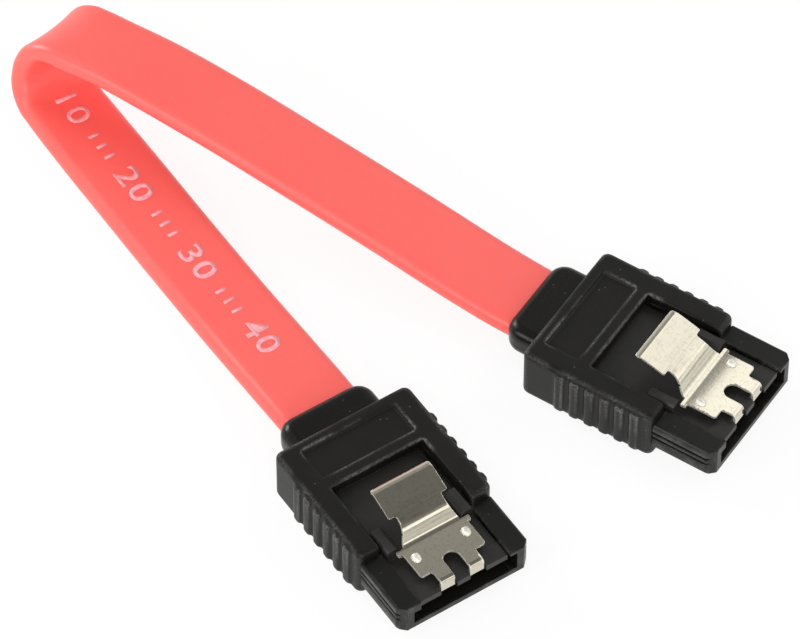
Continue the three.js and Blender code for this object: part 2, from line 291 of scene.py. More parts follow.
def onBothPlugs(name, node, bm, material, sharp=None, ridesClip=False):
    for side in sides:
        piece = finished(f"{name}_{side}", bm, material, plugFrames[side] @ Matrix.Scale(mm, 4),
                         "clip_" + side if ridesClip else "root", sharp)
        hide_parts(f"{node}_{side}")
    print("stage:", name, len(piece.data.polygons), "faces each")
    bm.free()


# The flat cable: out of plug a, along the table, over the fold and down into plug b.
ribbon = {
    "width": 8.7,
    "thickness": 2.2,
    "steps": 240,
    "edgeFaces": 10,                # faces round each edge of the section
    "flatFaces": 10,                # faces across each flat side
    "curl": 0.3,                    # how far the edges flare outward where the ribbon folds
    "curlRadius": 4.2,              # the bend radius at which the flare is full
    "curlMiddle": 0.33,             # how far the middle sinks, as a share of the flare
    "twistRounds": 6,               # rounds of smoothing along the rolls
    # distances along the route, each with how far the ribbon has rolled there, in degrees
    "twists": ((0, 0), (40, 0), (50, -4), (54, 0), (61, 0), (65, 4), (70, 1), (75, 0), (200, 0)),
}
routePoints = [                     # the middle of the cable as the photo shows it, in millimetres
    (-14.8, -12.2, 3.1), (-17.3, -11.68, 3.02), (-22.5, -10.5, 2.45), (-31.8, -8.4, 1.5),
    (-41.1, -6.45, 1.25), (-50.4, -4.5, 1.23), (-57.3, -3.1, 1.32), (-62, -2.15, 1.55),
    (-63.7, -1.8, 1.86), (-65, -1.4, 2.66), (-65.78, -0.95, 3.88), (-66.08, -0.5, 5.48),
    (-65.78, -0.1, 7.08), (-64.95, 0.3, 8.34), (-63.6, 0.65, 9.12), (-61.9, 1, 9.42),
    (-55.7, 2.45, 9.44), (-46.4, 4.5, 8.56), (-36.1, 6.68, 7.05), (-25.7, 8.9, 5.34),
    (-16.4, 10.8, 3.72), (-11.9, 11.7, 3.2), (-9.46, 12.2, 3.1),
]
foldAxis = Vector((0, 1, 0))        # the line that the cable turns over


def smoothRoute(points, count):
    # a centripetal curve through the points, in even steps
    dense, fine = [], 24
    ends = [points[0] * 2 - points[1], *points, points[-1] * 2 - points[-2]]
    for p0, p1, p2, p3 in zip(ends, ends[1:], ends[2:], ends[3:]):
        t1 = (p1 - p0).length ** 0.5
        t2 = t1 + (p2 - p1).length ** 0.5
        t3 = t2 + (p3 - p2).length ** 0.5
        for i in range(fine):
            t = t1 + (t2 - t1) * i / fine
            a1 = p0 * (t1 - t) / t1 + p1 * t / t1
            a2 = p1 * (t2 - t) / (t2 - t1) + p2 * (t - t1) / (t2 - t1)
            a3 = p2 * (t3 - t) / (t3 - t2) + p3 * (t - t2) / (t3 - t2)
            b1 = a1 * (t2 - t) / t2 + a2 * t / t2
            b2 = a2 * (t3 - t) / (t3 - t1) + a3 * (t - t1) / (t3 - t1)
            dense.append(b1 * (t2 - t) / (t2 - t1) + b2 * (t - t1) / (t2 - t1))
    dense.append(points[-1])
    marks = [0]
    for a, b in zip(dense, dense[1:]):
        marks.append(marks[-1] + (b - a).length)
    even, k = [], 0
    for i in range(count + 1):
        want = marks[-1] * i / count
        while k < len(dense) - 2 and marks[k + 1] < want:
            k += 1
        even.append(dense[k].lerp(dense[k + 1], (want - marks[k]) / (marks[k + 1] - marks[k])))
    return even, marks[-1]


def ribbonFrames():
    # middle, outward normal, sideways direction and curvature at each step of the route
    middle, length = smoothRoute([Vector(p) for p in routePoints], ribbon["steps"])
    before, after = [middle[0], *middle[:-1]], [*middle[1:], middle[-1]]
    ahead = [(b - a).normalized() for a, b in zip(before, after)]
    bend = [(q - p).length * ribbon["steps"] / length / 2
            for p, q in zip([ahead[0], *ahead[:-1]], [*ahead[1:], ahead[-1]])]
    # the ribbon rolls a few degrees about its length on each side of the fold
    marks = np.linspace(0, length, len(middle))
    rolls = np.radians(np.interp(marks, *zip(*ribbon["twists"])))
    for _ in range(ribbon["twistRounds"]):
        rolls[1:-1] = (rolls[:-2] + rolls[1:-1] * 2 + rolls[2:]) / 4
    frames = []
    for point, along, curved, roll in zip(middle, ahead, bend, rolls.tolist()):
        out = Matrix.Rotation(-roll, 3, along) @ along.cross(foldAxis).normalized()
        frames.append((point, out, along.cross(out), curved))
    return frames, length


ribbonSteps, ribbonLength = ribbonFrames()


def ribbonPoint(distance, across, out):
    # a point of the ribbon: distance along the route, across its width, out from its middle
    step = min(max(distance / ribbonLength, 0), 1) * ribbon["steps"]
    k = min(int(step), ribbon["steps"] - 1)
    ends = []
    for point, normal, sideways, curved in ribbonSteps[k:k + 2]:
        shape = (across * 2 / ribbon["width"]) ** 2 - ribbon["curlMiddle"]
        flare = ribbon["curl"] * min(curved * ribbon["curlRadius"], 1) ** 3 * shape
        ends.append(point + sideways * across + normal * (out + flare))
    return ends[0].lerp(ends[1], step - k)


def sectionPoint(share):
    # a point of the ribbon's section, a share of the way round its two flats and two round edges
    radius = ribbon["thickness"] / 2
    straight = ribbon["width"] / 2 - radius
    faces = ribbon["edgeFaces"] + ribbon["flatFaces"]
    turn, k = divmod(round(share * 2 * faces), faces)
    side = -1 if turn % 2 else 1
    if k <= ribbon["edgeFaces"]:
        angle = math.pi * (k / ribbon["edgeFaces"] - 0.5)
        return side * (straight + radius * math.cos(angle)), side * radius * math.sin(angle)
    return side * straight * (1 - 2 * (k - ribbon["edgeFaces"]) / ribbon["flatFaces"]), side * radius


def makeRibbon():
    # a grid rolled round the section and laid along the route, its ends closed
    bm = bmesh.new()
    around = 2 * (ribbon["edgeFaces"] + ribbon["flatFaces"])
    bmesh.ops.create_grid(bm, x_segments=around, y_segments=ribbon["steps"], size=0.5)
    layer = bm.loops.layers.uv.new("ribbonUv")
    for face in bm.faces:
        for loop in face.loops:
            place = loop.vert.co
            loop[layer].uv = ((place.x + 0.5) * 2 * ribbon["width"], (place.y + 0.5) * ribbonLength)
    for vert in bm.verts:
        across, out = sectionPoint(vert.co.x + 0.5)
        vert.co = ribbonPoint((vert.co.y + 0.5) * ribbonLength, across, out)
    bmesh.ops.remove_doubles(bm, verts=bm.verts, dist=same)
    bmesh.ops.holes_fill(bm, edges=[e for e in bm.edges if e.is_boundary])
    bmesh.ops.recalc_face_normals(bm, faces=bm.faces)
    return bm


def jacketPvc():
    # soft PVC, extruded: an even coral red with a broad soft sheen and the faintest draw lines
    material, tree, shader = newMaterial("jacketPvc")
    uv = addNode(tree, "UVMap", {"uv_map": "ribbonUv"})
    drawn = addNode(tree, "Mapping", values={"Scale": (2.2, 0.05, 1)},
                    links={"Vector": uv})                              # 0.45 mm apart, 20 mm long
    lines = addNode(tree, "TexNoise", values={"Scale": 1, "Detail": 3}, links={"Vector": drawn})
    position = addNode(tree, "TexCoord")
    cloud = addNode(tree, "TexNoise", values={"Scale": 90, "Detail": 2},
                    links={"Vector": position.outputs["Object"]})      # patches about 11 mm across
    colour = addNode(tree, "MixRGB", values={"Color1": linear("#FF665F"), "Color2": linear("#FF6D66")},
                     links={"Fac": cloud.outputs["Fac"]})
    rough = addNode(tree, "MapRange", values={"To Min": 0.34, "To Max": 0.44},
                    links={"Value": lines.outputs["Fac"]})
    grain = addNode(tree, "TexNoise", values={"Scale": 3500, "Detail": 2},
                    links={"Vector": position.outputs["Object"]})      # 0.3 mm orange peel
    height = addNode(tree, "Math", {"operation": "ADD"},
                     links={0: lines.outputs["Fac"], 1: grain.outputs["Fac"]})
    bump = addNode(tree, "Bump", values={"Strength": 0.12, "Distance": 0.03 * mm},
                   links={"Height": height})
    setInputs(tree, shader, {"IOR": 1.53, "Subsurface Weight": 0.25, "Subsurface Radius": (1, 0.25, 0.2),
                             "Subsurface Scale": 1.5 * mm},
              {"Base Color": colour, "Roughness": rough, "Normal": bump})
    return material


# Print on the lower leg: a plain millimetre scale, with numerals and short ticks between them.
printing = {
    "first": 10,                    # numeral nearest the fold
    "last": 40,
    "step": 10,
    "start": 47.5,                  # where the first numeral stands, along the route
    "spacing": 12,
    "height": 2.45,
    "capShare": 0.72,               # a numeral's height as a share of the font's size
    "stretch": 1.32,                # wide-set letters
    "letterSpace": 1.12,
    "bold": 0.045,
    "ticks": (0.37, 0.5, 0.63),     # shares of the way to the next numeral
    "tickWidth": 0.36,
    "tickHeight": 1.2,
    "depth": 0.025,                 # how far the film of ink stands up
}


def glyphs(words):
    # the outline font's filled shape, its middle at the origin
    curve = bpy.data.curves.new("numerals", "FONT")
    curve.body = words
    curve.align_x, curve.align_y = "CENTER", "CENTER"
    curve.size = printing["height"] / printing["capShare"]
    curve.space_character = printing["letterSpace"]
    curve.offset = printing["bold"]
    curve.resolution_u = 4
    spare = bpy.data.objects.new("numerals", curve)
    scene.collection.objects.link(spare)
    mesh = bpy.data.meshes.new_from_object(spare.evaluated_get(bpy.context.evaluated_depsgraph_get()))
    bm = bmesh.new()
    bm.from_mesh(mesh)
    bpy.data.objects.remove(spare)
    bpy.data.meshes.remove(mesh)
    bmesh.ops.scale(bm, vec=(printing["stretch"], 1, 1), verts=bm.verts)
    return bm


def tick():
    bm = bmesh.new()
    bmesh.ops.create_grid(bm, x_segments=1, y_segments=1, size=0.5)
    bmesh.ops.scale(bm, vec=(printing["tickWidth"], printing["tickHeight"], 1), verts=bm.verts)
    return bm


def inked(shape, distance):
    # a flat shape laid on the upper face of the lower leg, with a film's thickness
    bmesh.ops.remove_doubles(shape, verts=shape.verts, dist=same)
    grown = bmesh.ops.extrude_face_region(shape, geom=shape.faces[:])["geom"]
    lifted = {g for g in grown if isinstance(g, bmesh.types.BMVert)}
    for vert in shape.verts:
        lift = printing["depth"] if vert in lifted else -printing["depth"]
        vert.co = ribbonPoint(distance - vert.co.x, -vert.co.y, -ribbon["thickness"] / 2 - lift)
    bmesh.ops.recalc_face_normals(shape, faces=shape.faces)
    return shape


def makePrint():
    marks = []
    for i, number in enumerate(range(printing["first"], printing["last"] + 1, printing["step"])):
        middle = printing["start"] - i * printing["spacing"]
        marks.append(inked(glyphs(str(number)), middle))
        if number < printing["last"]:
            marks += [inked(tick(), middle - printing["spacing"] * share) for share in printing["ticks"]]
    return merged(*marks)


def printInk():
    # pad-printed white ink, thin enough for the red to tint it, broken up a little
    material, tree, shader = newMaterial("printInk")
    position = addNode(tree, "TexCoord")
    patchy = addNode(tree, "TexNoise", values={"Scale": 2600, "Detail": 3},
                     links={"Vector": position.outputs["Object"]})     # 0.4 mm
    ramp = addNode(tree, "MapRange", values={"From Min": 0.35, "From Max": 0.6},
                   links={"Value": patchy.outputs["Fac"]})
    colour = addNode(tree, "MixRGB", values={"Color1": linear("#FF9A9C"), "Color2": linear("#FFB4C0")},
                     links={"Fac": ramp})
    setInputs(tree, shader, {"Roughness": 0.55}, {"Base Color": colour})
    return material


jacket = finished("flat_cable_jacket", makeRibbon(), jacketPvc(), Matrix.Scale(mm, 4))
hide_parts("flat_cable")
finished("scale_print", makePrint(), printInk(), Matrix.Scale(mm, 4))
print("stage: flat cable,", round(ribbonLength, 1), "mm")


# Moulded plastics: the pattern coordinates are the plug's own millimetres.
plasticMarks = {                    # the levels of a pattern between which each mark fades in
    "patches": {"From Min": 0.46, "From Max": 0.64},
    "specks": {"From Min": 0.36, "From Max": 0.66},                    # they break the patches up
    "dustAndGlints": {"From Min": 0.06, "From Max": 0.03, "To Max": 0.3},      # faint pale specks, one to a cell: dust, and painted glints off the grain
    "collar": {"From Min": -15, "From Max": -15.5},                    # behind the hood's rear face
}


def mouldedPlastic(name, look):
    # sizes in a look are millimetres: cloudy colour, specks, patches, cells of pale specks (dust, and
    # painted glints) and grain
    marks = plasticMarks
    material, tree, shader = newMaterial(name)
    spot = addNode(tree, "Attribute", {"attribute_name": "plugPlace"}).outputs["Vector"]
    edgeMask = addNode(tree, "Attribute", {"attribute_name": "edgeWearAndHighlight"}).outputs["Fac"]
    cloud = addNode(tree, "TexNoise", values={"Scale": 1 / look["cloud"], "Detail": 3},
                    links={"Vector": spot})
    colour = addNode(tree, "MixRGB", values={"Color1": linear(look["dark"]), "Color2": linear(look["pale"])},
                     links={"Fac": cloud.outputs["Fac"]})
    speck = addNode(tree, "TexNoise", values={"Scale": 1 / look["speck"], "Detail": 4, "Roughness": 0.7},
                    links={"Vector": spot})
    patch = addNode(tree, "TexNoise", {"noise_dimensions": "4D"},
                    {"Scale": 1 / look["patch"], "Detail": 2, "W": look["seed"]}, {"Vector": spot})
    where = addNode(tree, "MapRange", values=marks["patches"], links={"Value": patch.outputs["Fac"]})
    broken = addNode(tree, "MapRange", values=marks["specks"], links={"Value": speck.outputs["Fac"]})
    rubbed = addNode(tree, "Math", {"operation": "MULTIPLY"}, links={0: where, 1: broken})
    onEdges = addNode(tree, "Math", {"operation": "MULTIPLY"}, links={0: rubbed, 1: edgeMask})
    scuff = addNode(tree, "Math", {"operation": "MULTIPLY"}, {1: look["wear"]}, {0: onEdges})
    # pale specks, one to a cell: dust, and painted glints standing in for light off the grain
    cells = addNode(tree, "TexVoronoi", values={"Scale": 1 / look["dustGlintCell"]}, links={"Vector": spot})
    dustAndGlint = addNode(tree, "MapRange", values=marks["dustAndGlints"], links={"Value": cells.outputs["Distance"]})
    pale = addNode(tree, "Math", {"operation": "MAXIMUM"}, links={0: scuff, 1: dustAndGlint})
    finish = addNode(tree, "MixRGB", values={"Color2": linear(look["scuff"])},
                     links={"Fac": pale, "Color1": colour})
    rough = addNode(tree, "MapRange", values={"To Min": look["gloss"][0], "To Max": look["gloss"][1]},
                    links={"Value": cloud.outputs["Fac"]})
    place = addNode(tree, "SeparateXYZ", links={0: spot})
    collar = addNode(tree, "MapRange", values={**marks["collar"], "To Max": look["collarGloss"]},
                     links={"Value": place.outputs["X"]})
    matte = addNode(tree, "Math", {"operation": "SUBTRACT"}, links={0: rough, 1: collar})
    grain = addNode(tree, "TexNoise", values={"Scale": 1 / look["grain"], "Detail": 2},
                    links={"Vector": spot})
    bump = addNode(tree, "Bump", values={"Strength": look["bump"], "Distance": 0.04 * mm},
                   links={"Height": grain.outputs["Fac"]})
    setInputs(tree, shader, {"IOR": look["ior"], "Specular IOR Level": look["shine"]},
              {"Base Color": finish, "Roughness": matte, "Normal": bump})
    return material


# soft PVC overmould: matte charcoal black with a fine grain, rubbed whitish along its edges
hoodPvc = mouldedPlastic("hoodPvc", {
    "dark": "#0F0E0D", "pale": "#171613", "scuff": "#8E8E88", "wear": 0.6, "cloud": 2.5, "speck": 0.2,
    "patch": 5, "seed": 2, "dustGlintCell": 1.6, "grain": 0.16, "bump": 0.4, "gloss": (0.4, 0.5), "ior": 1.53,
    "shine": 0.24, "collarGloss": 0.18})
# PBT shell, moulded smooth: a deeper black with more gloss, its corners a little rubbed
shellPbt = mouldedPlastic("shellPbt", {
    "dark": "#0E0E0C", "pale": "#151411", "scuff": "#7A7974", "wear": 0.3, "cloud": 2, "speck": 0.2,
    "patch": 1.8, "seed": 0, "dustGlintCell": 1.8, "grain": 0.3, "bump": 0.12, "gloss": (0.32, 0.42), "ior": 1.55,
    "shine": 0.25, "collarGloss": 0})
# LCP carrier: dark grey and matte, with the flow marks of a stiff filled plastic
carrierLcp = mouldedPlastic("carrierLcp", {
    "dark": "#1D1C1A", "pale": "#282724", "scuff": "#5E5D58", "wear": 0.3, "cloud": 1.2, "speck": 0.2,
    "patch": 1.5, "seed": 0, "dustGlintCell": 1.6, "grain": 0.12, "bump": 0.2, "gloss": (0.44, 0.54), "ior": 1.6,
    "shine": 0.35, "collarGloss": 0})


# Hood and collar, one soft moulding.
hoodLow, hoodHigh = plugBox("hood")
shellLow, shellHigh = plugBox("mating_shell")
hoodSet = {
    "length": 15,
    "width": 15.5,
    "corner": 0.8,                  # seen from above
    "edge": 0.5,                    # above and below
    "collarWidth": 10.5,
    "collarBottom": 1.5,
    "collarTop": 5,
    "collarCorner": 1.8,
    "collarEdge": 1.15,
    "ribs": 6,
    "ribPitch": 1.72,
    "ribStart": 1.9,
    "ribWidth": 1.16,
    "ribProud": 0.38,
    "ribRound": 0.9,                # radius of a rib's edges, as a share of how far it stands out
    "ribBottom": 0.35,
    "ribTop": 5.75,
    "windowLength": 8.5,
    "windowHalf": 5.3,
    "padFront": 9.9,
    "padLength": 3.8,
    "padDepth": 0.35,
    "tailTop": 4.4,                 # the top of the shell's tail, the floor of the window
    "pocketHalf": 6.5,              # the pocket takes the shell's tail
    "pocketLength": 12,
    "pocketBottom": 1.4,
    "pocketTop": 4.6,
    "socketBottom": 1.95,           # the socket takes the end of the cable
    "socketTop": 4.25,
    "socketGap": 0.05,
    "socketDeep": 1,
    "voxel": 0.12,                  # cells of this size melt hood, collar and ribs into one skin
    "smoothing": 3,
}


def makeHood():
    s = hoodSet
    half, top, back = s["width"] / 2, hoodHigh[2], hoodLow[0]
    body = slab((-s["length"], -half, 0), (0, half, top), s["corner"], s["edge"])
    collar = slab((back, -s["collarWidth"] / 2, s["collarBottom"]),
                  (-s["length"] + s["collarCorner"], s["collarWidth"] / 2, s["collarTop"]),
                  s["collarCorner"], s["collarEdge"])
    ribs = []
    for side in (-1, 1):
        for i in range(s["ribs"]):
            x = -s["ribStart"] - i * s["ribPitch"]
            rib = block((x - s["ribWidth"] / 2, side * half - s["ribProud"], s["ribBottom"]),
                        (x + s["ribWidth"] / 2, side * half + s["ribProud"], s["ribTop"]))
            ribs.append(roundEdges(rib, lambda p, q: True, s["ribProud"] * s["ribRound"], 3))
    pad = block((-s["padFront"] - s["padLength"], -s["windowHalf"], top - s["padDepth"]),
                (-s["padFront"], s["windowHalf"], top + past))
    window = block((-s["windowLength"], -s["windowHalf"], s["tailTop"]),
                   (2 * past, s["windowHalf"], top + past))
    pocket = block((-s["pocketLength"], -s["pocketHalf"], s["pocketBottom"]),
                   (2 * past, s["pocketHalf"], s["pocketTop"]))
    socketHalf = ribbon["width"] / 2 + s["socketGap"]
    socket = block((back - past, -socketHalf, s["socketBottom"]),
                   (back + s["socketDeep"], socketHalf, s["socketTop"]))
    roundEdges(socket, lambda p, q: abs(p.x - q.x) > same, ribbon["thickness"] / 2, 6)
    return shaped(body, [
        addOn(collar), addOn(merged(*ribs)), cutAway(pad), cutAway(window), cutAway(pocket), cutAway(socket),
        ("REMESH", {"mode": "VOXEL", "voxel_size": s["voxel"]}),
        ("SMOOTH", {"factor": 0.5, "iterations": s["smoothing"]}),
    ])


onBothPlugs("grip_hood", "hood", makeHood(), hoodPvc)


# Mating shell with its L-shaped mouth.
shellSet = {
    "half": 7.5,
    "edge": 0.25,
    "nose": 0.8,                    # the slanted front corners
    "tail": 9.5,                    # how far the shell reaches into the hood
    "tailHalf": 6.4,
    "mouthHalf": 5.9,
    "mouthFloor": 2.2,
    "mouthRoof": 3.8,
    "roofHalf": 5.1,
    "keyHeight": 0.65,              # the short leg of the L
    "keyDepth": 5.2,
    "cutHeight": 8,                 # taller than the shell, for cuts that go right through it
    "ridgeFrom": 3.25,              # a narrow ridge runs along each side, a groove above and below it
    "ridgeTo": 3.65,
    "groove": 0.22,
    "grooveDepth": 0.35,
    "softEdge": 0.07,
    "cell": 0.25,                   # size of the faces that the wear is noted on
}


def shellOutline():
    # one side of the shell's section from below: edge, groove, ridge, groove, edge
    s = shellSet
    half, inner, g = s["half"], s["half"] - s["grooveDepth"], s["groove"]
    bottom, top = shellLow[2], shellHigh[2]
    return [
        (half - s["edge"], bottom), (half, bottom + s["edge"]),
        (half, s["ridgeFrom"] - 1.5 * g), (inner, s["ridgeFrom"] - g), (inner, s["ridgeFrom"] - g / 2),
        (half, s["ridgeFrom"]), (half, s["ridgeTo"]), (inner, s["ridgeTo"] + g / 2),
        (inner, s["ridgeTo"] + g), (half, s["ridgeTo"] + 1.5 * g), (half, top - s["edge"]),
        (half - s["edge"], top),
    ]


def makeShell():
    s = shellSet
    right = shellOutline()
    section = [*right, *[(-y, z) for y, z in reversed(right)]]
    front = prism([(0, y, z) for y, z in section], (shellReach, 0, 0))
    start, inner, outer = shellReach - s["nose"], s["half"] - s["nose"], s["half"] + past
    end, rear = shellReach + past, -s["tail"] - past
    nose = [(start, s["half"]), (shellReach, inner), (end, inner), (end, outer), (start, outer)]
    noses = [prism([(x, side * y, -past) for x, y in nose], (0, 0, s["cutHeight"])) for side in (-1, 1)]
    tail = block((-s["tail"], -s["tailHalf"], shellLow[2]), (overlap, s["tailHalf"], hoodSet["tailTop"]))
    slot = block((rear, -s["mouthHalf"], s["mouthFloor"]), (end, s["mouthHalf"], s["mouthRoof"]))
    roof = block((rear, -s["roofHalf"], s["mouthFloor"]), (end, s["roofHalf"], s["cutHeight"] + past))
    key = block((shellReach - s["keyDepth"], s["roofHalf"] - overlap, s["mouthRoof"] - overlap),
                (end, s["mouthHalf"], s["mouthRoof"] + s["keyHeight"]))
    return shaped(front, [addOn(tail), cutAway(merged(*noses)), cutAway(slot), cutAway(roof), cutAway(key),
                          softEdges(s["softEdge"])])


onBothPlugs("mouth_shell", "mating_shell", gridded(makeShell(), shellSet["cell"]), shellPbt,
            sharp=crease)


# Contact carrier: deck, the solid back of the slot, the guards beside the clip's neck.
carrierSet = {
    "front": 6.55,
    "deckHalf": 5.0,
    "deckFrom": 3.8,
    "deckTop": 4.5,
    "stripFrom": 4.66,              # the front strip stands a hair higher than the rest of the deck
    "stripStep": 0.08,
    "slotHalf": 5.8,
    "backBottom": 2.3,              # the block that closes the slot's rear
    "backTop": 3.7,
    "backFront": -0.5,
    "webDrop": 0.02,                # the web under the deck stays a hair below its top
    "guardFrom": -2.25,
    "guardTo": 0.75,
    "guardInner": 3.55,
    "guardOuter": 4.95,
    "guardTop": 5.65,
    "guardChamfer": 0.45,
    "guardGap": 0.2,                # from the guards to the lowered part of the deck
    "hookFrom": 0.74,               # notches in the front edge, which the clip's hooks drop into
    "hookTo": 2.59,
    "hookBack": 5.77,
    "hookCut": (2, 6, 8),           # from this height to this one, and out to this place ahead
    "contacts": 7,
    "pitch": 1.27,
    "channelHalf": 0.4,
    "channelBottom": 3.65,
    "channelTop": 4.2,
    "channelEnd": 5.48,
    "softEdge": 0.06,
    "cell": 0.25,
}


def makeCarrier():
    s = carrierSet
    tail = shellSet["tail"]
    deck = block((-tail, -s["deckHalf"], s["deckFrom"]), (s["front"], s["deckHalf"], s["deckTop"]))
    back = block((-tail, -s["slotHalf"], s["backBottom"]), (s["backFront"], s["slotHalf"], s["backTop"]))
    web = block((-tail, -s["deckHalf"], s["backBottom"]),
                (s["backFront"], s["deckHalf"], s["deckTop"] - s["webDrop"]))
    lowered = block((s["guardTo"] + s["guardGap"], -s["deckHalf"] - past, s["deckTop"] - s["stripStep"]),
                    (s["stripFrom"], s["deckHalf"] + past, s["deckTop"] + past))
    c, top = s["guardChamfer"], s["guardTop"]
    steps = [addOn(back), addOn(web), cutAway(lowered)]
    for side in (-1, 1):
        outline = [(s["guardFrom"], side * y, z) for y, z in (
            (s["guardInner"], s["deckTop"] - overlap), (s["guardOuter"], s["deckTop"] - overlap),
            (s["guardOuter"], top - c / 2), (s["guardOuter"] - c / 2, top),
            (s["guardInner"] + c, top), (s["guardInner"], top - c))]
        steps.append(addOn(prism(outline, (s["guardTo"] - s["guardFrom"], 0, 0))))
        low, high = sorted((side * s["hookFrom"], side * s["hookTo"]))
        bottom, ceiling, end = s["hookCut"]
        steps.append(cutAway(block((s["hookBack"], low, bottom), (end, high, ceiling))))
    for i in range(s["contacts"]):
        y = (i - (s["contacts"] - 1) / 2) * s["pitch"]
        steps.append(cutAway(block((-tail - past, y - s["channelHalf"], s["channelBottom"]),
                                   (s["channelEnd"], y + s["channelHalf"], s["channelTop"]))))
    return shaped(deck, [*steps, softEdges(s["softEdge"])])


onBothPlugs("contact_insert", "contact_carrier", gridded(makeCarrier(), carrierSet["cell"]), carrierLcp,
            sharp=crease)


# Spring clip: one stamping, cut flat and then bent along its length.
clipSet = {
    "thickness": 0.25,
    "middle": 5.275,                # height of the middle of the plate
    "plateFront": 4.75,
    "plateHalf": 3.7,
    "plateRear": 1.0,
    "plateCorner": 0.3,
    "earHalf": 4.15,
    "earLength": 0.6,
    "earFillet": 0.2,
    "earCorner": 0.12,
    "hookFront": 6.3,
    "hookInner": 0.88,
    "hookOuter": 2.45,
    "crown": 0.03,                  # the plate's faint arch from its bend to its hooks
    "crownStart": 0.05,
    "hookDrop": 1.3,
    "hookBend": 0.35,
    "hookFillet": 0.25,
    "notchMiddle": 4.48,
    "leverHalf": 3.32,
    "neckHalf": 2.56,
    "neckStep": 1.4,
    "neckFillet": 0.22,
    # how far back from the plate's rear, and how far in from the lever's side
    "shoulder": ((0, 0.1), (0.25, 0.14), (0.55, 0.3)),
    # places along, and how far out from the neck's side
    "neckFlare": ((0.05, 0.2), (-0.4, 0.05), (-0.8, 0)),
    "leverCorner": 0.15,
    "endCorner": 0.2,
    "leverRise": 3.0,
    "leverEnd": 4.7,
    # the rolled end: how far in from the lever's end, and how far below its highest level
    "rolledEnd": ((0, 0.22), (0.4, 0.02)),
    # the lever: how far ahead of the neck's step, and what share of its rise it has there
    "leverProfile": ((-1.796, 0.91), (-0.9, 0.81), (0, 0.7)),
    # the bend: how far ahead of the plate's rear, with the same share
    "bendProfile": ((-1.55, 0.57), (-1.05, 0.42), (-0.6, 0.19), (-0.3, 0.06), (-0.1, 0.011),
                    (0.15, 0), (0.5, 0), (1, 0)),
    "barb": (2.55, 2.85),           # place along and across
    "barbSize": (1.3, 0.95, 0.84),
    "edgeSize": 0.035,
    "edgeTurn": 50,                 # degrees; gentler bends stay as they are
    "strip": 0.12,                  # length of each strip across the bends
    "leverSteps": 80,
    "flatSteps": 14,
    "relaxed": 6,                   # rounds of smoothing that take the corners out of the bend
}


def arc(x, y, radius, start, end, count):
    return [(x + radius * math.cos(math.radians(start + (end - start) * i / count)),
             y + radius * math.sin(math.radians(start + (end - start) * i / count)))
            for i in range(count + 1)]


def clipPath():
    # the clip seen from the side, from the rolled end of the lever to the tip of the hook
    s = clipSet
    level, rise, rear = s["middle"], s["leverRise"], s["plateRear"]
    knots = [(-s["leverEnd"] + inward, level + rise - drop) for inward, drop in s["rolledEnd"]]
    knots += [(ahead - s["neckStep"], level + rise * share) for ahead, share in s["leverProfile"]]
    knots += [(rear + ahead, level + rise * share) for ahead, share in s["bendProfile"]]
    lever, _ = smoothRoute([Vector((x, 0, z)) for x, z in knots], s["leverSteps"])
    for _ in range(s["relaxed"]):
        lever = [lever[0], *[(p + q * 2 + r) / 4 for p, q, r in zip(lever, lever[1:], lever[2:])], lever[-1]]
    hookX = s["hookFront"] - s["thickness"] / 2
    hook = arc(hookX - s["hookBend"], level - s["hookBend"], s["hookBend"], 90, 0, 8)
    bend, plate = rear + s["crownStart"], hook[0][0] - rear - s["crownStart"]
    flat = [(x, level) for x in np.linspace(knots[-1][0], hook[0][0], s["flatSteps"])[1:-1].tolist()]
    path = [(x, z + s["crown"] * math.sin(math.pi * min(max((x - bend) / plate, 0), 1)))
            for x, z in [(p.x, p.z) for p in lever] + flat]
    path += hook + [(hookX, level - s["hookDrop"])]
    marks = [0]
    for (x, z), (u, w) in zip(path, path[1:]):
        marks.append(marks[-1] + math.hypot(u - x, w - z))
    return path, marks


def clipOutline(alongOf, hookTip):
    # half of the flat blank, from the notch out to the end of the lever
    s = clipSet
    corner, fillet, ear = s["plateCorner"], s["hookFillet"], s["plateRear"] + s["earLength"]
    tip, neck, lever, end = s["earCorner"], s["neckFillet"], s["leverCorner"], s["endCorner"]
    half = [
        *arc(s["notchMiddle"], 0, s["hookInner"], 175, 90, 8),
        (None, s["hookInner"]), (None, s["hookOuter"]),
        *arc(s["plateFront"] + fillet, s["hookOuter"] + fillet, fillet, 270, 180, 4),
        *arc(s["plateFront"] - corner, s["plateHalf"] - corner, corner, 0, 90, 5),
        *arc(ear + s["earFillet"], s["plateHalf"] + s["earFillet"], s["earFillet"], 270, 180, 3),
        *arc(ear - tip, s["earHalf"] - tip, tip, 0, 90, 3),
        *arc(s["plateRear"] + tip, s["earHalf"] - tip, tip, 90, 180, 3),
        *[(s["plateRear"] - back, s["leverHalf"] - inward) for back, inward in s["shoulder"]],
        *[(x, s["neckHalf"] + out) for x, out in s["neckFlare"]],
        *arc(-s["neckStep"] + neck, s["neckHalf"] + neck, neck, 270, 180, 3),
        *arc(-s["neckStep"] - lever, s["leverHalf"] - lever, lever, 0, 90, 3),
        *arc(-s["leverEnd"] + end, s["leverHalf"] - end, end, 90, 180, 3),
    ]
    return [(hookTip if x is None else alongOf(x), y) for x, y in half]


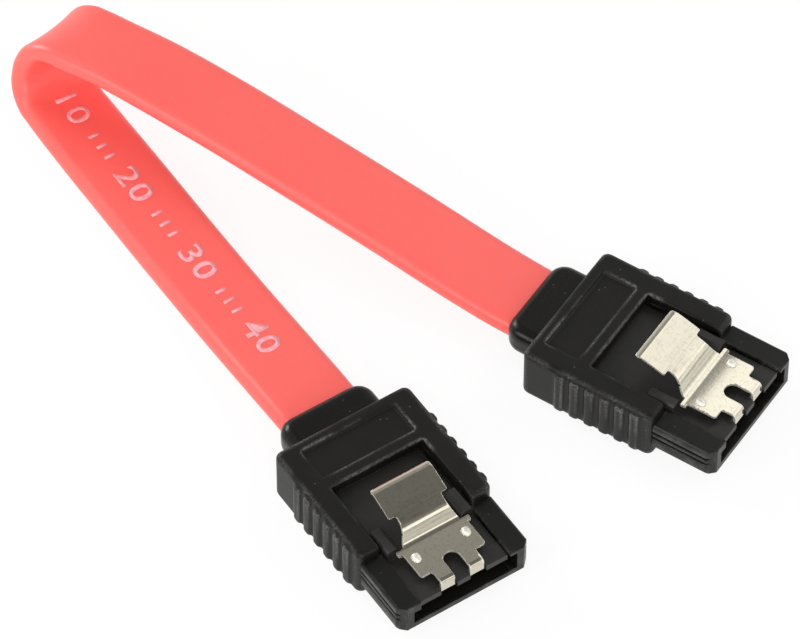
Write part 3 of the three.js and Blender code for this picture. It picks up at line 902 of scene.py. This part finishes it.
def makeClip():
    s = clipSet
    path, marks = clipPath()

    def alongOf(x):
        k = next(k for k in range(len(path) - 1) if path[k + 1][0] >= x)
        share = (x - path[k][0]) / (path[k + 1][0] - path[k][0])
        return marks[k] + (marks[k + 1] - marks[k]) * max(share, 0)

    half = clipOutline(alongOf, marks[-1])
    outline = [*half, *[(x, -y) for x, y in reversed(half)]]
    bm = bmesh.new()
    bm.faces.new([bm.verts.new((x, y, 0)) for x, y in outline])
    for distance in marks[s["leverSteps"] + 1:-1]:
        cutPlane(bm, (distance, 0, 0), (1, 0, 0))
    gridded(gridded(bm, s["strip"], (0,)), s["strip"] * 2, (1,))
    for vert in bm.verts:
        k = min(int(np.searchsorted(marks, vert.co.x, side="right")) - 1, len(path) - 2)
        share = (vert.co.x - marks[k]) / (marks[k + 1] - marks[k])
        (x, z), (u, w) = path[k], path[k + 1]
        vert.co = (x + (u - x) * share, vert.co.y, z + (w - z) * share)
    bmesh.ops.recalc_face_normals(bm, faces=bm.faces)
    strip = shaped(bm, [("SOLIDIFY", {"thickness": s["thickness"], "offset": 0}),
                        softEdges(s["edgeSize"], s["edgeTurn"])])
    return merged(strip, clipBarb(-1), clipBarb(1))


def clipBarb(side):
    # a half teardrop pressed up out of the plate, steep towards the rear
    s = clipSet
    (x, y), size = s["barb"], s["barbSize"]
    top = s["middle"] + s["thickness"] / 2
    bm = bmesh.new()
    bmesh.ops.create_uvsphere(bm, u_segments=28, v_segments=18, radius=0.5, matrix=Matrix.Translation(
        (x, side * y, top)) @ Matrix.Diagonal((*size, 1)))
    for spot, direction in (((x - size[0] / 4, 0, 0), (-1, 0, 0)), ((0, 0, top - overlap), (0, 0, -1))):
        cutPlane(bm, spot, direction, clear=True)
        bmesh.ops.holes_fill(bm, edges=[e for e in bm.edges if e.is_boundary])
    bmesh.ops.recalc_face_normals(bm, faces=bm.faces)
    return bm


steelMarks = {                      # levels between which each mark fades in, or places along the plug
    "stains": {"From Min": 0.5, "From Max": 0.8},
    "streaks": {"From Min": 0.45, "From Max": 0.65},                   # left by the bending die
    "streaksBehind": {"From Min": -2.6, "From Max": -0.9, "To Max": 0.45},
    "streaksAhead": {"From Min": 0.9, "From Max": 0.2},
    # painted highlight: how far the sharp-edge mask turns the steel near-white
    "rimHighlight": {"From Min": 0.6, "From Max": 0.95},
    "barbRise": 0.05,               # height over which a barb turns from the strip's colour to painted highlight
    "barbsAhead": 0.3,              # how far ahead of the plate's rear the barbs are looked for
    "cutRough": 0.5,
}


def springSteel():
    # stainless spring strip, rolled bright: warm grey with faint stains, its cut edges rough; its sharp
    # edges and pressed barbs carry a painted highlight in near-white
    marks = steelMarks
    material, tree, shader = newMaterial("springSteel")
    spot = addNode(tree, "Attribute", {"attribute_name": "plugPlace"}).outputs["Vector"]
    rolled = addNode(tree, "Mapping", values={"Scale": (0.5, 14, 0.5)},
                     links={"Vector": spot})                           # 0.07 mm apart, 2 mm long
    lines = addNode(tree, "TexNoise", values={"Scale": 1, "Detail": 4}, links={"Vector": rolled})
    stain = addNode(tree, "TexNoise", values={"Scale": 2.6, "Detail": 5, "Roughness": 0.7},
                    links={"Vector": spot})                            # 0.4 mm across
    spots = addNode(tree, "MapRange", values=marks["stains"], links={"Value": stain.outputs["Fac"]})
    strip = addNode(tree, "MixRGB", values={"Color1": linear("#D3CDBB"), "Color2": linear("#B4AE9D")},
                    links={"Fac": spots})
    drawn = addNode(tree, "Mapping", values={"Scale": (5, 0.25, 5)}, links={"Vector": spot})
    streak = addNode(tree, "TexNoise", values={"Scale": 1, "Detail": 4, "Roughness": 0.6},
                     links={"Vector": drawn})                          # 0.2 mm apart, 4 mm long
    streaks = addNode(tree, "MapRange", values=marks["streaks"], links={"Value": streak.outputs["Fac"]})
    place = addNode(tree, "SeparateXYZ", links={0: spot})
    nearBend = addNode(tree, "MapRange", values=marks["streaksBehind"], links={"Value": place.outputs["X"]})
    onLever = addNode(tree, "MapRange", values=marks["streaksAhead"], links={"Value": place.outputs["X"]})
    bent = addNode(tree, "Math", {"operation": "MULTIPLY"}, links={0: nearBend, 1: onLever})
    streaked = addNode(tree, "Math", {"operation": "MULTIPLY"}, links={0: bent, 1: streaks})
    strip = addNode(tree, "MixRGB", values={"Color2": linear("#8C8578")},
                    links={"Fac": streaked, "Color1": strip})
    # painted highlight: the sharp edges and the pressed barbs are mixed towards near-white
    edgeMask = addNode(tree, "Attribute", {"attribute_name": "edgeWearAndHighlight"})
    rimHighlight = addNode(tree, "MapRange", values=marks["rimHighlight"], links={"Value": edgeMask.outputs["Fac"]})
    above = clipSet["middle"] + clipSet["thickness"] / 2 + clipSet["crown"]
    raised = addNode(tree, "MapRange", links={"Value": place.outputs["Z"]}, values={
        "From Min": above, "From Max": above + marks["barbRise"]})
    ahead = addNode(tree, "Math", {"operation": "GREATER_THAN"}, links={0: place.outputs["X"]}, values={
        1: clipSet["plateRear"] + marks["barbsAhead"]})
    barb = addNode(tree, "Math", {"operation": "MULTIPLY"}, links={0: raised, 1: ahead})
    cutEdgeAndHighlight = addNode(tree, "Math", {"operation": "MAXIMUM"}, links={0: rimHighlight, 1: barb})
    colour = addNode(tree, "MixRGB", values={"Color2": linear("#F3F0E6")},
                     links={"Fac": cutEdgeAndHighlight, "Color1": strip})
    rolledFinish = addNode(tree, "MapRange", values={"To Min": 0.05, "To Max": 0.11},
                           links={"Value": lines.outputs["Fac"]})
    torn = addNode(tree, "Math", {"operation": "MULTIPLY"}, {1: marks["cutRough"]}, {0: cutEdgeAndHighlight})
    rough = addNode(tree, "Math", {"operation": "ADD"}, links={0: rolledFinish, 1: torn})
    bump = addNode(tree, "Bump", values={"Strength": 0.04, "Distance": 0.01 * mm},
                   links={"Height": lines.outputs["Fac"]})
    setInputs(tree, shader, {"Metallic": 1}, {"Base Color": colour, "Roughness": rough, "Normal": bump})
    return material


onBothPlugs("latch_spring", "spring_clip", makeClip(), springSteel(), sharp=crease,
            ridesClip=True)


def contactGold():
    # phosphor bronze under a flash of gold: warm yellow metal, a little dull from stamping
    material, tree, shader = newMaterial("contactGold")
    position = addNode(tree, "TexCoord")
    dull = addNode(tree, "TexNoise", values={"Scale": 2500, "Detail": 2},
                   links={"Vector": position.outputs["Object"]})       # 0.4 mm
    rough = addNode(tree, "MapRange", values={"To Min": 0.2, "To Max": 0.38},
                    links={"Value": dull.outputs["Fac"]})
    setInputs(tree, shader, {"Base Color": linear("#E2BE6A"), "Metallic": 1}, {"Roughness": rough})
    return material


gold = contactGold()
for name, node in frame["nodes"].items():
    if name.startswith(("contact_a", "contact_b")):
        node.data.materials.clear()
        node.data.materials.append(gold)
print("stage: contacts")


# Studio: a white floor and pale walls, a key lamp above, lamps at the left, right and front, a softbox
# behind that the cable's top and the plates reflect, and three small cards for the clips' edges.
studio = {
    "sky": 0.2,                     # how bright it is straight up
    "horizon": 0.82,
    "fall": (0.1, 0.85),            # heights in a direction of length 1 between which it falls off
    "floorHalf": 1500,
    "floorGlow": 0.86,              # share of white in the floor that the camera and reflections see
    "white": 1.03,
    "paper": ("#F1F1F1", "#F5F5F5"),
    "paperRough": 0.9,
}
lamps = {                           # place, aim and size in millimetres, and power in watts
    "backSoftbox": {"place": (116, 235, 205), "target": (116, 235, 0), "size": (420, 250), "power": 0.38},
    "rearCard": {"place": (-265, 275, 480), "target": (0, 0, 0), "size": (240, 240), "power": 0.03},
    "rightCard": {"place": (430, 90, 215), "target": (0, 0, 0), "size": (180, 110), "power": 0.07},
    "cornerCard": {"place": (400, 400, 160), "target": (0, 0, 0), "size": (260, 160), "power": 0.06},
    "keyLamp": {"place": (200, -270, 430), "target": (-20, 0, 0), "size": (200, 200), "power": 0.66},
    "leftLamp": {"place": (-435, -40, 215), "target": (-20, 0, 0), "size": (160, 180), "power": 1.0},
    "lowLamp": {"place": (380, -250, 110), "target": (-40, 0, 5), "size": (160, 140), "power": 0.6},
    "frontFill": {"place": (-100, -430, 270), "target": (-20, 0, 0), "size": (220, 130), "power": 0.54},
}


def addFloor():
    # matte white paper with a barely visible fibre
    bm = bmesh.new()
    bmesh.ops.create_grid(bm, x_segments=1, y_segments=1, size=studio["floorHalf"])
    material, tree, shader = newMaterial("paperSweep")
    position = addNode(tree, "TexCoord")
    grain = addNode(tree, "TexNoise", values={"Scale": 900, "Detail": 2},
                    links={"Vector": position.outputs["Object"]})      # 1.1 mm
    dark, pale = [linear(code) for code in studio["paper"]]
    paper = addNode(tree, "MixRGB", values={"Color1": dark, "Color2": pale},
                    links={"Fac": grain.outputs["Fac"]})
    setInputs(tree, shader, {"Roughness": studio["paperRough"]}, {"Base Color": paper})
    path = addNode(tree, "LightPath")
    glow = addNode(tree, "Emission", values={"Color": (1, 1, 1, 1), "Strength": studio["white"]})
    seen = addNode(tree, "Math", {"operation": "MAXIMUM"}, links={
        0: path.outputs["Is Camera Ray"], 1: path.outputs["Is Glossy Ray"]})
    share = addNode(tree, "Math", {"operation": "MULTIPLY"}, {1: studio["floorGlow"]}, {0: seen})
    mix = addNode(tree, "MixShader", links={0: share, 1: shader, 2: glow})
    setInputs(tree, tree.nodes["Material Output"], {}, {"Surface": mix})
    mesh = bpy.data.meshes.new("floor")
    bm.transform(Matrix.Scale(mm, 4))
    bm.to_mesh(mesh)
    bm.free()
    mesh.materials.append(material)
    floor = bpy.data.objects.new("floor", mesh)
    scene.collection.objects.link(floor)


def addLamps():
    for name, lamp in lamps.items():
        data = bpy.data.lights.new(name, "AREA")
        data.shape = "RECTANGLE"
        data.size, data.size_y = [length * mm for length in lamp["size"]]
        data.energy = lamp["power"]
        light = bpy.data.objects.new(name, data)
        light.location = Vector(lamp["place"]) * mm
        light.rotation_mode = "QUATERNION"
        light.rotation_quaternion = (Vector(lamp["target"]) - Vector(lamp["place"])).to_track_quat("-Z", "Y")
        scene.collection.objects.link(light)


def addWorld():
    # pale walls that fall off to a greyer ceiling
    world = bpy.data.worlds.new("studio")
    scene.world = world
    world.use_nodes = True
    tree = world.node_tree
    direction = addNode(tree, "TexCoord")
    parts = addNode(tree, "SeparateXYZ", links={0: direction.outputs["Generated"]})
    low, high = studio["fall"]
    fall = addNode(tree, "MapRange", {"interpolation_type": "SMOOTHSTEP"},
                   {"From Min": low, "From Max": high, "To Min": studio["horizon"], "To Max": studio["sky"]},
                   {"Value": parts.outputs["Z"]})
    setInputs(tree, tree.nodes["Background"], {"Color": (1, 1, 1, 1)}, {"Strength": fall})


addFloor()
addWorld()
addLamps()
print("stage: floor and lamps")

[tuple(step[0] * mm) for step in ribbonSteps]

print("stage: done")
